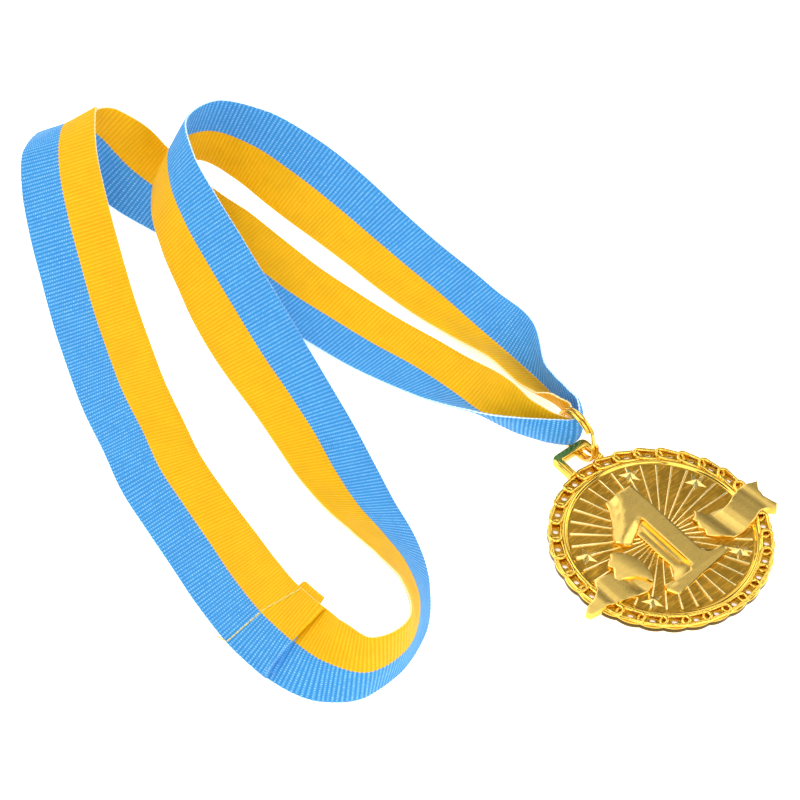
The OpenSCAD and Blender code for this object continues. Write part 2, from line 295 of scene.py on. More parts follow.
class StageSizes(bpy.types.PropertyGroup):
    """Camera and light"""
    azimuth: angle("Azimuth", "Direction of the camera around the medal", math.radians(-46))
    elevation: angle("Elevation", "Height of the camera above the horizon", 0.8677)
    roll: angle("Roll", "How far the camera is tipped to the left", 0.10952)
    distance: length("Distance", "From the camera to the surface", 1.3)
    lens: FloatProperty(name="Lens", description="Focal length in millimetres", default=202.24)
    window_turn: angle("Window turn", "Turn of the windows around the medal", 2.1)
    light: FloatProperty(name="Light", description="Strength of the soft lights", default=0.88, min=0)


# Materials

class Signal:
    """A value that flows through a node tree and makes the nodes that work on it."""

    def __init__(self, socket):
        self.socket = socket
        self.tree = socket.id_data

    def math(self, operation, *others, **settings):
        values = dict(enumerate((self, *others)))
        return signal(self.tree, "Math", values, operation=operation, **settings)

    def __add__(self, other):
        return self.math("ADD", other)

    def __sub__(self, other):
        return self.math("SUBTRACT", other)

    def __mul__(self, other):
        return self.math("MULTIPLY", other)

    def smooth(self, low, high, to_low=0.0, to_high=1.0):
        """Smooth step while the value goes from low to high."""
        values = {"Value": self, "From Min": low, "From Max": high, "To Min": to_low, "To Max": to_high}
        return signal(self.tree, "MapRange", values, interpolation_type="SMOOTHSTEP")

    def between(self, a, b):
        """Colour a where the value is 0 and colour b where it is 1."""
        return signal(self.tree, "Mix", {0: self, 6: opaque(a), 7: opaque(b)}, 2, data_type="RGBA")

    def tinted(self, tint):
        """The colour multiplied by another one."""
        values = {0: 1.0, 6: self, 7: opaque(tint)}
        return signal(self.tree, "Mix", values, 2, data_type="RGBA", blend_type="MULTIPLY")

    def noise(self, scale, detail=2.0, rough=0.5):
        """Soft random pattern at the place that the value gives."""
        values = {"Vector": self, "Scale": scale, "Detail": detail, "Roughness": rough}
        return signal(self.tree, "TexNoise", values)

    def bump(self, strength, distance, **under):
        """Surface direction tilted by the height that the value gives."""
        values = {"Height": self, "Strength": strength, "Distance": distance, **under}
        return signal(self.tree, "Bump", values)


def opaque(tint):
    return tint if isinstance(tint, Signal) else (*tint[:3], 1)


def feed(node, values):
    """Set inputs of the node, each to a plain value or to a signal."""
    for key, value in values.items():
        if isinstance(value, Signal):
            node.id_data.links.new(value.socket, node.inputs[key])
        else:
            node.inputs[key].default_value = value


def signal(tree, kind, values=(), output=0, **settings):
    """One output of a new node with the given inputs and settings."""
    node = tree.nodes.new("ShaderNode" + kind)
    for name, value in settings.items():
        setattr(node, name, value)
    feed(node, dict(values))
    return Signal(node.outputs[output])


def parts_of(vector):
    """The three numbers of a vector."""
    first = signal(vector.tree, "SeparateXYZ", {0: vector})
    return [Signal(socket) for socket in first.socket.node.outputs]


def new_material(name):
    """An empty node material with its Principled shader."""
    material = bpy.data.materials.new(name)
    material.use_nodes = True
    return material, material.node_tree, material.node_tree.nodes["Principled BSDF"]


def cast_surface_group():
    """Cast and plated metal: cloudy tone, fine grain, polish that varies, and brushed hairlines lightened as
    a painted glint.
    """
    name = "Cast Surface"
    if name in bpy.data.node_groups:
        return bpy.data.node_groups[name]
    tree = bpy.data.node_groups.new(name, "ShaderNodeTree")
    for way, titles, kind in (
            ("INPUT", ("Vector",), "Vector"),
            ("INPUT", ("Colour",), "Color"), ("OUTPUT", ("Colour",), "Color"),
            ("INPUT", ("Grain Size", "Grain Depth", "Roughness", "Patches", "Hairline Glints"), "Float"),
            ("OUTPUT", ("Roughness", "Height"), "Float")):
        for title in titles:
            tree.interface.new_socket(title, in_out=way, socket_type="NodeSocket" + kind)
    given = {socket.name: Signal(socket) for socket in tree.nodes.new("NodeGroupInput").outputs}
    place, base, rough = given["Vector"], given["Colour"], given["Roughness"]
    grain = place.noise(given["Grain Size"], 3) - 0.5
    tone = (place.noise(160.0, 3.0) - 0.5) * given["Patches"]
    toned = base.tinted((tone * 2.0 + 0.5).between((0.8, 0.8, 0.8), (1.15, 1.15, 1.15)))
    # brushing left fine scratches that run one way; they add to the height for the bump, and their colour is
    # lightened as a painted glint
    turned = {"Vector": place, "Rotation": (0, 0, math.radians(20)), "Scale": (260, 3800, 260)}
    scratch = signal(tree, "Mapping", turned).noise(1.0, 3.0, 0.6)
    line = scratch.smooth(0.5, 0.72) * given["Hairline Glints"]
    feed(tree.nodes.new("NodeGroupOutput"), {
        # painted glint: the colour along the hairlines is lightened and cooled
        "Colour": line.between(toned, toned.tinted((2.1, 2.1, 2.4))),
        "Roughness": (rough + grain * (rough * 0.6)).math("ADD", tone, use_clamp=True),
        "Height": grain * given["Grain Depth"] + line})
    return tree


def metal_material(name, tint, roughness, grain_size=1400, grain_depth=0.3, patches=0.1, hairline_glints=0.0):
    """Plated casting in one finish."""
    if name in bpy.data.materials:
        return bpy.data.materials[name]
    material, tree, shader = new_material(name)
    group = tree.nodes.new("ShaderNodeGroup")
    group.node_tree = cast_surface_group()
    feed(group, {
        "Vector": signal(tree, "TexCoord", output="Object"), "Colour": opaque(tint), "Roughness": roughness,
        "Grain Size": grain_size, "Grain Depth": grain_depth, "Patches": patches, "Hairline Glints": hairline_glints})
    feed(shader, {
        "Base Color": Signal(group.outputs["Colour"]), "Metallic": 1.0,
        "Roughness": Signal(group.outputs["Roughness"]),
        "Normal": Signal(group.outputs["Height"]).bump(0.4, 0.00006)})
    return material


def polished(sizes):
    return metal_material("polished_gold", sizes.polished, 0.11)


# painted dark reflection on the rim's outer side
def painted_dark_reflection(sizes):
    return metal_material("painted_dark_reflection", sizes.side, 0.16, patches=0.6)


def cast_links(sizes):
    return metal_material("cast_links", sizes.polished, 0.1, 1500, 5.0, 0.35)


# painted shade and reflected light of the rim's recesses
def recess_shade(sizes):
    return metal_material("rim_recess", sizes.recess_shade, 0.22, 1700, 3.0, 0.5)


# painted highlight finish of the rays
def painted_highlight_gold(sizes):
    return metal_material("painted_highlight_gold", sizes.bright, 0.22)


def faceted(sizes):
    """Finish of the stars, halfway between the paler painted-highlight gold and polished."""
    tint = [(a + b) / 2 for a, b in zip(sizes.bright, sizes.polished)]
    return metal_material("faceted_gold", tint, 0.25)


def satin_field(sizes):
    return metal_material("satin_field", sizes.satin, 0.34, 3600, 0.6, 0.3, 1.0)


# shade scales the colour; the banner's lighter copy is painted light
def satin_relief(sizes, name="satin_relief", shade=1.0):
    return metal_material(name, [c * shade for c in sizes.relief], 0.3, 4200, 0.35, 0.06, 0.15)


WARP_PITCH = 0.00068  # from one warp thread to the next
# painted highlight: paler blue on the rib crests, where they catch the light
BLUE_RIB_HIGHLIGHT = (0.36, 0.62, 0.80)
BLUE_SELVEDGE = (0.72, 0.87, 0.93)
YELLOW_SELVEDGE = (0.95, 0.80, 0.55)
# painted glow of the cloth, in each of its colours, that lifts its shade
BLUE_PAINTED_GLOW = (0.09, 0.27, 0.95)
YELLOW_PAINTED_GLOW = (0.72, 0.28, 0.0)


def ribbon_material(sizes):
    """Ribbed woven polyester, blue and yellow, read from the ribbon's own UV map."""
    material, tree, shader = new_material("ribbed_ribbon")
    width, along_it, _ = parts_of(signal(tree, "UVMap", uv_map="weave"))
    ribs = along_it * (sizes.width / sizes.rib_pitch)
    wave = (ribs * (2 * math.pi)).math("COSINE")
    crest = wave * 0.5 + 0.5
    # warp threads lie side by side over the ribs and dip between them by turns
    threads = width * (sizes.width / WARP_PITCH) + (ribs + 0.5).math("FLOOR") * 0.5
    thread = (threads * (2 * math.pi)).math("COSINE") * 0.5 + 0.5
    # the two colours meet in a line that steps a little from rib to rib
    is_blue = width.math("GREATER_THAN", wave * 0.004 + 0.5)
    speck_place = signal(tree, "CombineXYZ", {0: width * 60, 1: along_it * 40})
    speck, cloud = speck_place.noise(1.0, 1.0), speck_place.noise(0.06, 2.0)
    red, green, blue = sizes.yellow
    # painted highlight: paler yellow on the rib crests
    yellow_rib_highlight = (min(1.0, red * 1.05), green * 1.5, blue + 0.015)
    # painted shade: darker yellow and blue in the grooves between the ribs
    yellow_gap_shade = (red * 0.94, green * 0.76, blue * 0.6)
    blue_gap_shade = [c * 0.6 for c in sizes.blue]
    # painted highlight on the rib crests and the threads over them, broken up by specks
    rib_highlight = crest.smooth(0.55, 0.95) * thread.smooth(0.15, 0.95, 0.03, 0.95)
    rib_highlight = rib_highlight * speck.smooth(0.3, 0.7, 0.15, 1.0)
    # painted shade in the grooves between the ribs and where the threads dip
    low = crest.smooth(0.0, 0.5, 1.0, 0.0) * thread.smooth(0.0, 0.9, 1.0, 0.25)
    blue_side = low.between(rib_highlight.between(sizes.blue, BLUE_RIB_HIGHLIGHT), blue_gap_shade)
    yellow_side = low.between(rib_highlight.between(sizes.yellow, yellow_rib_highlight), yellow_gap_shade)
    cloth = is_blue.between(yellow_side, blue_side)
    # painted shade: soft darker, cooler patches where the slack cloth would fall in shade
    cloth = cloud.smooth(0.35, 0.65, 0.0, 0.3).between(cloth, cloth.tinted((0.72, 0.78, 0.86)))
    # the turned weft shows pale along both selvedges
    edge = (width - 0.5).math("ABSOLUTE").smooth(0.4965, 0.4995, 0.0, 0.75)
    # slack spots, a finger wide, turn the cloth a little this way and that
    slack = cloud.bump(0.4, 0.0015)
    feed(shader, {
        "Base Color": edge.between(cloth, is_blue.between(YELLOW_SELVEDGE, BLUE_SELVEDGE)),
        "Roughness": crest.smooth(0.0, 1.0, 0.72, 0.5),
        "Normal": (thread * 0.6 + speck * 0.6).bump(0.5, 0.00008, Normal=slack),
        # the cloth glows a little in its own colour: painted light that keeps its shaded folds from turning
        # grey
        "Emission Color": is_blue.between(YELLOW_PAINTED_GLOW, BLUE_PAINTED_GLOW), "Emission Strength": 0.25,
        "Subsurface Weight": 0.4, "Subsurface Radius": (1, 1, 1), "Subsurface Scale": 0.0016,
        "Sheen Weight": 0.04, "Sheen Roughness": 0.4, "Specular IOR Level": 0.15})
    return material


def thread_material(sizes):
    """Twisted sewing thread with a slight sheen."""
    material, tree, shader = new_material("sewing_thread")
    place = signal(tree, "TexCoord", output="Object")
    twist = signal(tree, "TexWave", {"Vector": place, "Scale": 2600, "Distortion": 1.5}, "Fac")
    shade = twist.between([c * 0.75 for c in sizes.thread], sizes.thread)
    feed(shader, {"Base Color": shade, "Roughness": 0.6, "Sheen Weight": 0.2})
    return material


def surface_material():
    """Pale matt surface that the medal lies on."""
    material, _, shader = new_material("pale_surface")
    feed(shader, {
        "Base Color": (0.93, 0.93, 0.925, 1), "Roughness": 0.9, "Specular IOR Level": 0.1,
        "Emission Color": (1, 1, 1, 1), "Emission Strength": 0.65})
    return material


# Mesh helpers. Sizes given to them are in millimetres.

def scaled(*values):
    """Millimetres to metres, as a vector."""
    return Vector(values) * MM


def shifted(*values):
    """Matrix that moves by millimetres."""
    return Matrix.Translation(scaled(*values))


def added(bm, before):
    """The vertices that aren't among the earlier ones."""
    return [v for v in bm.verts if v not in before]


def verts_of(geom):
    """The vertices among parts of a mesh."""
    return [part for part in geom if isinstance(part, bmesh.types.BMVert)]


def edges_at(verts):
    return {e for v in verts for e in v.link_edges}


def faces_at(verts):
    return {f for v in verts for f in v.link_faces}


def attached(verts):
    """The given vertices with all their edges and faces."""
    return list(verts) + list(edges_at(verts)) + list(faces_at(verts))


def face_outward(bm):
    """Turn every face of closed shapes to the outside."""
    bm.normal_update()
    bmesh.ops.recalc_face_normals(bm, faces=bm.faces)


def thicken(bm, faces, depth):
    """Give flat faces a thickness by moving a copy of them up or down."""
    grown = bmesh.ops.extrude_face_region(bm, geom=list(faces))["geom"]
    bmesh.ops.translate(bm, verts=verts_of(grown), vec=scaled(0, 0, depth))
    return grown


def rounded(bm, geom, radius, segments=2, affect="EDGES"):
    bmesh.ops.bevel(
        bm, geom=list(geom), offset=radius * MM, segments=segments, profile=0.5, affect=affect, material=-1)


def circle(bm, segments, radius, place, **more):
    """The corners of a new ring of edges."""
    return bmesh.ops.create_circle(bm, segments=segments, radius=radius * MM, matrix=place, **more)["verts"]


def spin_around(bm, geom, steps):
    """Sweep a line once around the vertical axis."""
    bmesh.ops.spin(
        bm, geom=geom, cent=(0, 0, 0), axis=(0, 0, 1), angle=2 * math.pi, steps=steps, use_merge=True)


def around(bm, turn, count):
    """Copy the whole shape around the vertical axis until there are count of it."""
    geom = list(bm.verts) + list(bm.edges) + list(bm.faces)
    for k in range(1, count):
        copy = bmesh.ops.duplicate(bm, geom=geom)["geom"]
        bmesh.ops.rotate(bm, verts=verts_of(copy), cent=(0, 0, 0), matrix=Matrix.Rotation(turn * k, 3, "Z"))


def along(stops, x):
    """Height at x on a smooth line through (x, height) stops."""
    for (x0, h0), (x1, h1) in zip(stops, stops[1:]):
        if x <= x1:
            return h0 + (h1 - h0) * ease((x - x0) / (x1 - x0))
    return stops[-1][1]


def strips(direction, first, last, step):
    """Parallel cuts: direction across them in degrees and distance from the medal's centre."""
    return [(direction, first + step * k) for k in range(int((last - first) / step) + 1)]


ROUNDING = ((0.3, 1.0), (0.7, 0.3))  # shares of a rounding: inward from the edge, and down


def relief(bm, outline, low, height, round_off, cuts=(), corners=()):
    """Raised shape with rounded upper edges. height is a function of x and y; corners holds the
    number and radius of each corner of the outline that is rounded."""
    before = set(bm.verts)
    rim = [bm.verts.new(scaled(x, y, 0)) for x, y in outline]
    bm.faces.new(rim)
    for index, radius in corners:
        rounded(bm, [rim[index]], radius, 5, "VERTICES")
    for direction, place in cuts:
        normal = Vector((math.cos(math.radians(direction)), math.sin(math.radians(direction)), 0))
        bmesh.ops.bisect_plane(
            bm, geom=attached(added(bm, before)), dist=2e-6, plane_co=normal * place * MM, plane_no=normal)
    bmesh.ops.remove_doubles(bm, verts=added(bm, before), dist=0.2 * MM)
    top = faces_at(added(bm, before))
    for v in verts_of(bmesh.ops.extrude_face_region(bm, geom=list(top))["geom"]):
        v.co.z = low * MM
    drops = {}
    for share, drop in ROUNDING:
        ring = bmesh.ops.inset_region(
            bm, faces=list(top), thickness=round_off * share * MM, use_even_offset=True, use_boundary=True)
        inner = {v for f in top for v in f.verts}
        for v in {v for f in ring["faces"] for v in f.verts} - inner:
            drops.setdefault(v, drop)
    for v in {v for f in top for v in f.verts} | set(drops):
        v.co.z = max(low + 0.1, height(v.co.x / MM, v.co.y / MM) - drops.get(v, 0.0) * round_off) * MM
    faces = list(faces_at(added(bm, before)))
    bm.normal_update()
    bmesh.ops.recalc_face_normals(bm, faces=faces)
    if sum(f.calc_center_median().dot(f.normal) * f.calc_area() for f in faces) < 0:
        bmesh.ops.reverse_faces(bm, faces=faces)


def add_object(name, data):
    new = bpy.data.objects.new(name, data)
    bpy.context.scene.collection.objects.link(new)
    return new


def mesh_object(name, bm, material):
    """Object made from a bmesh, with one material."""
    mesh = bpy.data.meshes.new(name)
    bm.to_mesh(mesh)
    bm.free()
    mesh.materials.append(material)
    return add_object(name, mesh)


def finish_piece(name, bm, material, smooth=None):
    """A piece with its body. Edges sharper than smooth, in degrees, stay sharp."""
    piece = mesh_object(name, bm, material)
    if smooth is not None:
        piece.data.shade_smooth()
        piece.data.set_sharp_from_angle(angle=math.radians(smooth))
    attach(piece, "root")
    return piece


def cast_piece(name, bm, material, smooth=None):
    """A piece of the casting, which stands for the medal's solid."""
    piece = finish_piece(name, bm, material, smooth)
    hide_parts("medal")
    return piece


STEEP = 0.75  # a face whose upward share is less is steep


def polish_edges(piece, sizes):
    """Give the steep faces of a satin piece the polished finish."""
    piece.data.materials.append(polished(sizes))
    for polygon in piece.data.polygons:
        if abs(polygon.normal.z) < STEEP:
            polygon.material_index = 1


# Ribbon and thread, in millimetres and in rows of the ribbon's course

SPOTS_WIDTH = 25
RIBBON_SPOTS = (-12.5, -12.3, -9.5, -6.5, -3.5, -1.5, -0.6, 0, 0.6, 1.5, 3.5, 6.5, 9.5, 12.3, 12.5)
RIB_STEPS = 4
EDGE_THICKNESS = 0.55  # share of the thickness left at the selvedges
EDGE_SWELL = 0.9
TURN_STEPS = 8
FLAP_ROWS = 1.4
SHORT_ROWS = 0.6
OVER_ROWS = 0.2
LAYER_SPACE = 0.12
PEEK = 2.2
STITCH = 1.7
STITCH_WIDTH = 0.24
STITCH_LENGTH = 0.56
# the seam across the sewn end: row of the ribbon's course and distance from the colour line
SEAM = ((2.18, 13.6), (1.84, 12.2), (1.8, 6), (1.76, 0.2), (1.72, -2), (1.45, -7), (1.16, -12.2))


def layer_height(sizes):
    """From the middle of one layer of ribbon to the middle of the next."""
    return sizes.thickness / MM + 2 * sizes.rib_depth / MM + LAYER_SPACE


def neck_ribbon(sizes):
    """The whole ribbon as one closed skin, woven ring by ring along its course."""
    width, thick, swell = sizes.width / MM, sizes.thickness / MM, sizes.rib_depth / MM
    half, layer = width / 2, layer_height(sizes)
    spots = [s * width / SPOTS_WIDTH for s in RIBBON_SPOTS]
    spacing = sizes.rib_pitch / MM / RIB_STEPS
    bm = bmesh.new()
    weave = bm.loops.layers.uv.new("weave")
    rings = []

    def add_ring(section, points, fronts):
        """Both faces of the cloth at the next step, around its two edges."""
        wave = swell * math.cos(2 * math.pi * len(rings) / RIB_STEPS)
        front_side, back_side = [], []
        for s, p, n in zip(spots, points, fronts):
            h = thick / 2 + wave
            if abs(s) > half - 1e-6:
                h *= EDGE_THICKNESS
                p = p + section.outward(s, half) * (wave * EDGE_SWELL)
            front_side.append(bm.verts.new((p + n * h) * MM))
            back_side.append(bm.verts.new((p - n * h) * MM))
        rings.append(front_side + back_side[::-1])

    lower_end = len(RIBBON_ROWS) - 1 - SHORT_ROWS
    places = [u for u in course_places(spacing) if u <= lower_end]
    for u in [-u for u in reversed(places[1:]) if u < OVER_ROWS] + places:
        section = Section(u)
        points, fronts = section.across(spots, half)
        rise = max(0.0, section.row.lift) * layer
        add_ring(section, [p + n * rise for p, n in zip(points, fronts)], fronts)
    # the lower end turns back over itself and shows past the yellow edge
    end = Section(places[-1])
    points, fronts = end.across(spots, half)
    radius = layer / 2
    toward_yellow = end.outward(-half, half)
    for i in range(1, TURN_STEPS):
        a = math.pi * i / TURN_STEPS
        moved = [p + n * radius * (1 - math.cos(a)) + end.ahead * radius * math.sin(a)
                 + toward_yellow * PEEK * i / TURN_STEPS for p, n in zip(points, fronts)]
        add_ring(end, moved, [n * math.cos(a) - end.ahead * math.sin(a) for n in fronts])
    for u in reversed([u for u in places if u > places[-1] - FLAP_ROWS]):
        section = Section(u)
        points, fronts = section.across(spots, half)
        shift = section.outward(-half, half) * PEEK
        moved = [p + n * layer + shift for p, n in zip(points, fronts)]
        add_ring(section, moved, [-n for n in fronts])

    # skin between the rings, mapped by its share across and its length in widths
    shares = [s / width + 0.5 for s in spots]
    shares += shares[::-1]
    count = len(shares)
    for k, (a, b) in enumerate(zip(rings, rings[1:])):
        t, after = k * spacing / width, (k + 1) * spacing / width
        for i in range(count):
            j = (i + 1) % count
            face = bm.faces.new((a[i], a[j], b[j], b[i]))
            corners = (shares[i], t), (shares[j], t), (shares[j], after), (shares[i], after)
            for loop, uv in zip(face.loops, corners):
                loop[weave].uv = uv
    last = len(rings) - 1
    for ring, order, k in ((rings[0], rings[0][::-1], 0), (rings[last], rings[last], last)):
        for loop in bm.faces.new(order).loops:
            loop[weave].uv = (shares[ring.index(loop.vert)], k * spacing / width)
    bm.normal_update()
    if bm.calc_volume(signed=True) < 0:
        bmesh.ops.reverse_faces(bm, faces=bm.faces)
    piece = finish_piece("neck_ribbon", bm, ribbon_material(sizes), smooth=60)
    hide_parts("ribbon")
    last * spacing * MM


def seam_thread(sizes):
    """One short stitch after another across the sewn end."""
    half, layer = sizes.width / MM / 2, layer_height(sizes)
    top = sizes.thickness / MM / 2 + sizes.rib_depth / MM

    def on_cloth(u, s):
        """Point on top of the sewn layers, or beside them past the blue edge."""
        section = Section(u)
        (point,), (front,) = section.across([max(-half, min(half, s))], half)
        past = section.toward_blue(s, half) * max(0.0, s - half)
        return point + past + front * (section.row.lift * layer + top)

    bm = bmesh.new()
    for (u0, s0), (u1, s1) in zip(SEAM, SEAM[1:]):
        count = max(1, round(abs(s1 - s0) / STITCH))
        for i in range(count):
            a, b = (on_cloth(u0 + (u1 - u0) * t, s0 + (s1 - s0) * t)
                    for t in ((i + 0.03) / count, (i + 0.93) / count))
            lie = (b - a).normalized().to_track_quat("Z", "X").to_matrix().to_4x4()
            size = (STITCH_WIDTH * MM, STITCH_WIDTH * MM, (b - a).length * STITCH_LENGTH * MM, 1)
            bmesh.ops.create_uvsphere(
                bm, u_segments=8, v_segments=8, radius=1,
                matrix=Matrix.Translation((a + b) / 2 * MM) @ lie @ Matrix.Diagonal(size))
    finish_piece("seam_thread", bm, thread_material(sizes), smooth=180)


# Shapes of the casting, in millimetres

FIELD_TOP = 2
FIELD_RADIUS = 26.75  # the satin finish ends here
DISC_PROFILE = (  # distance from the middle, height
    (0, 0.15), (25, 0.15), (25.3, 0), (27.9, 0), (28.2, 0.3), (28.2, 2.2), (28.05, 2.5), (27.8, 2.6),
    (27.45, 2.6), (27.2, 2.5), (27.0, 2.3), (26.85, 2.08), (26.7, 2), (26.2, 2), (0, 2))
RAYS = 36
RAY_MIDDLE = 15.2
RAY_SIZE = (22.2, 1.2, 1.0)
RAY_NARROW = 0.55  # share of its width at its inner end
RAY_CREST = 0.45  # share of its width along its top

LINKS = 30
LINK_STEP = 2 * math.pi / LINKS
LINK_RADIUS = 30
LINK_TILT = math.radians(6)
LINK_SKEW = math.radians(-3.5)
BASE_TOP = 1.9
BASE_DEPTH = 0.9
BASE_HOLE = 0.86
BASE_PLACES = (27.9, 28.9, LINK_RADIUS, 30.7, 31.4)  # inner to outer edge
WALL_TOP = 1.95
WALL_INNER = 31.1
RIM_RADIUS = 32.5
NOTCH = 0.55

EYE_OUTLINE = (
    (-6.5, 31.2), (-4, 31.2), (-4, 37.1), (4.8, 37.1), (4.8, 31.2), (6.5, 31.2), (6.5, 39.8), (-6.5, 39.8))
EYE_CORNERS = ((6, 1.9), (7, 1.9), (2, 0.5), (3, 0.5))
EYE_LOW, EYE_TOP = 1.8, 3.9

STARS = ((69, 23.6), (21, 23.3), (160, 22.8), (221, 23.3), (309, 22.6))  # turn, distance
STAR_RADIUS = 3.4
STAR_WAIST = 0.45
STAR_EDGE = 0.36
STAR_PEAK = 1.15

RELIEF_TOP = 4.18  # highest level of the numeral and of the banner's roll
NUMERAL_STEP = (
    (-0.6, 8), (-5.4, 4.6), (-5.4, -9.6), (-6.6, -12), (-8.2, -13.4), (-9, -15), (-0.6, -15))
NUMERAL_FACE = (
    (11, -16.2), (10.8, -13.5), (7.6, -13.3), (6, -12.7), (5, -11), (5, 18.3), (-4.8, 18.4),
    (-5.8, 15.8), (-8, 12.5), (-10.3, 9.6), (-12.3, 7.3), (-12.8, 5.5), (-11.3, 3.4), (-9.3, 2.5),
    (-5.4, 4.5), (-1, 7.6), (-1, -12.6), (-3, -14.6), (-8, -14.8), (-12.3, -13.8), (-12.8, -15.8),
    (-9.8, -18.4), (0, -17.3))
# ridge above the hollow of the numeral's flag
FLAG_RIDGE = ((4.8, -11.5), (10, -6), (13.3, -3.3), (16.3, -1.4), (19, -1))  # y, x
FLAG_REACH = 4.5  # from the ridge to the deepest part of the hollow
UNDERSIDE_TURN, UNDERSIDE_PLACE = 2.005, 8.7  # edge where the flag's underside starts to slope

BANNER_LOW = 1
BANNER_RIGHT = (
    (9.8, -8.2), (10.8, -6.4), (10, -4.8), (11, -3.4), (10.4, -1.6), (12, -1), (13, 0.5), (14.8, -1.8),
    (17, -3.8), (19.5, -4.3), (22, -4), (26, -2.3), (31, -1.3), (35.3, -2.8), (33.3, -5.2), (32.8, -8),
    (33.4, -10.5), (34, -12.2), (32.3, -13.8), (30.5, -12), (28, -11.4), (24, -13), (20, -13.8),
    (15.5, -13.5), (12, -10.6))
BANNER_LEFT = (
    (-36, -7.3), (-34.6, -6), (-31, -5), (-28.2, -3.4), (-26.5, -0.2), (-23, -0.8), (-19.5, -2),
    (-14, -4), (-14, -11.5), (-16.5, -12.3), (-20, -12), (-25, -10.5), (-30, -9.3), (-33, -9),
    (-35.2, -8.7))
ROLL_LEFT = (
    (-19.5, -0.6), (-20.3, 0.8), (-19, 2), (-18, 2.2), (-17, 3.5), (-15, 2.8), (-13, 1), (-11.7, -2),
    (-11.3, -5), (-12.5, -9), (-14, -11.4), (-14.8, -9.3), (-16.5, -6.8), (-19.8, -5), (-23.2, -4.8),
    (-21, -2.6))
# Height of the banner's folds, by distance along X
FOLDS_RIGHT = (
    (9, 3.2), (10.5, 3.55), (12.5, 3.75), (14.3, 3.6), (15.8, 3.2), (16.8, 3.1), (18, 3.35), (20, 3.95),
    (22, 4.1), (24.5, 4), (28, 3.75), (30.4, 3.45), (32, 3.6), (35.5, 3.4))
FOLDS_LEFT = (
    (-36, 3.4), (-33, 3.55), (-29.5, 3.75), (-27.2, 3.36), (-25.5, 3.55), (-22, 3.5), (-20, 3.4),
    (-17.5, 2.9), (-14, 3.2))


def numeral_face(x, y):
    """Height of the numeral: level stem, hollow flag, sloping underside and foot."""
    z = RELIEF_TOP - 0.75 * max(0, -15.2 - y)
    if x < -1 and y > 2:
        hollow = min(FLAG_REACH, max(0, along(FLAG_RIDGE, y) - x)) / FLAG_REACH
        under = max(0, UNDERSIDE_PLACE - x * math.cos(UNDERSIDE_TURN) - y * math.sin(UNDERSIDE_TURN))
        z -= (0.75 + 0.4 * ease((y - 9) / 4)) * (1 - (1 - hollow) ** 2) + 0.5 * under * ease((-1 - x) / 2)
    return z


def numeral_step(x, y):
    """Height of the lower step beside the stem, which sweeps up into the foot."""
    return 3.1 + 0.7 * (max(0, min(4.5, -9.5 - y)) / 4.5) ** 1.6


def banner_right(x, y):
    """Folds of the right half, which lean a little."""
    return along(FOLDS_RIGHT, x + 0.12 * (y + 8))


def banner_left(x, y):
    """Folds of the left half, with a brushed hollow near its lower edge."""
    return along(FOLDS_LEFT, x) - 0.3 * math.exp(-((x + 18.5) ** 2 + (y + 8.7) ** 2) / 2.5)


def banner_roll(x, y):
    """The roll is highest along the line from its torn end to its lower tip."""
    return RELIEF_TOP - 0.028 * ((x + 15.5) * 0.86 + (y + 3) * 0.2) ** 2


def disc(sizes):
    """Turned disc with its smooth ridge and its satin field."""
    bm = bmesh.new()
    verts = [bm.verts.new(scaled(r, 0, z)) for r, z in DISC_PROFILE]
    spin_around(bm, verts + [bm.edges.new(pair) for pair in zip(verts, verts[1:])], 180)
    bmesh.ops.remove_doubles(bm, verts=bm.verts, dist=1e-6)
    face_outward(bm)
    for face in bm.faces:
        in_field = face.calc_center_median().xy.length < FIELD_RADIUS * MM
        face.material_index = int(face.normal.z > 0.9 and in_field)
    piece = cast_piece("medal_disc", bm, polished(sizes), smooth=40)
    piece.data.materials.append(satin_field(sizes))


def rays(sizes):
    """Raised rays around the middle of the field."""
    bm = bmesh.new()
    bmesh.ops.create_cube(bm, size=1)
    bmesh.ops.scale(bm, vec=scaled(*RAY_SIZE), verts=bm.verts)
    bmesh.ops.translate(bm, vec=scaled(RAY_MIDDLE, 0, FIELD_TOP), verts=bm.verts)
    upper = [v for v in bm.verts if v.co.z > FIELD_TOP * MM]
    for v in bm.verts:
        inner = v.co.x < RAY_MIDDLE * MM
        v.co.y *= RAY_NARROW if inner else 1
        if v in upper:
            v.co.y *= RAY_CREST
            v.co.x += (0.8 if inner else -0.3) * MM
    rounded(bm, [e for e in bm.edges if all(v in upper for v in e.verts)], 0.13)
    around(bm, 2 * math.pi / RAYS, RAYS)
    face_outward(bm)
    # the rays take the paler gold, a painted highlight
    cast_piece("sun_rays", bm, painted_highlight_gold(sizes), smooth=30)


def oval_link(bm, turn, half_length=4.08, half_width=1.55, wire=1.12, height=2.34):
    """One cast chain link: a ring of wire drawn out along the rim, its leading end tipped up and
    outwards."""
    before = set(bm.verts)
    first = (Matrix.Rotation(math.radians(9), 4, "Z") @ shifted(half_width, 0, 0)
             @ Matrix.Rotation(math.pi / 2, 4, "X"))
    start = circle(bm, 8, wire / 2, first)
    spin_around(bm, start + list(edges_at(start)), 20)
    verts = added(bm, before)
    for v in verts:
        v.co.y += math.copysign((half_length - half_width) * MM, v.co.y)
    lie = Matrix.Rotation(LINK_SKEW, 4, "Z") @ Matrix.Rotation(LINK_TILT, 4, "X")
    place = Matrix.Rotation(turn, 4, "Z") @ shifted(LINK_RADIUS, 0, height) @ lie
    bmesh.ops.transform(bm, matrix=place, verts=verts)


def from_link(place):
    """How far a place lies from the middle of its link, as a share of the step between links."""
    links = math.atan2(place.y, place.x) / LINK_STEP + 0.5
    return links - round(links)


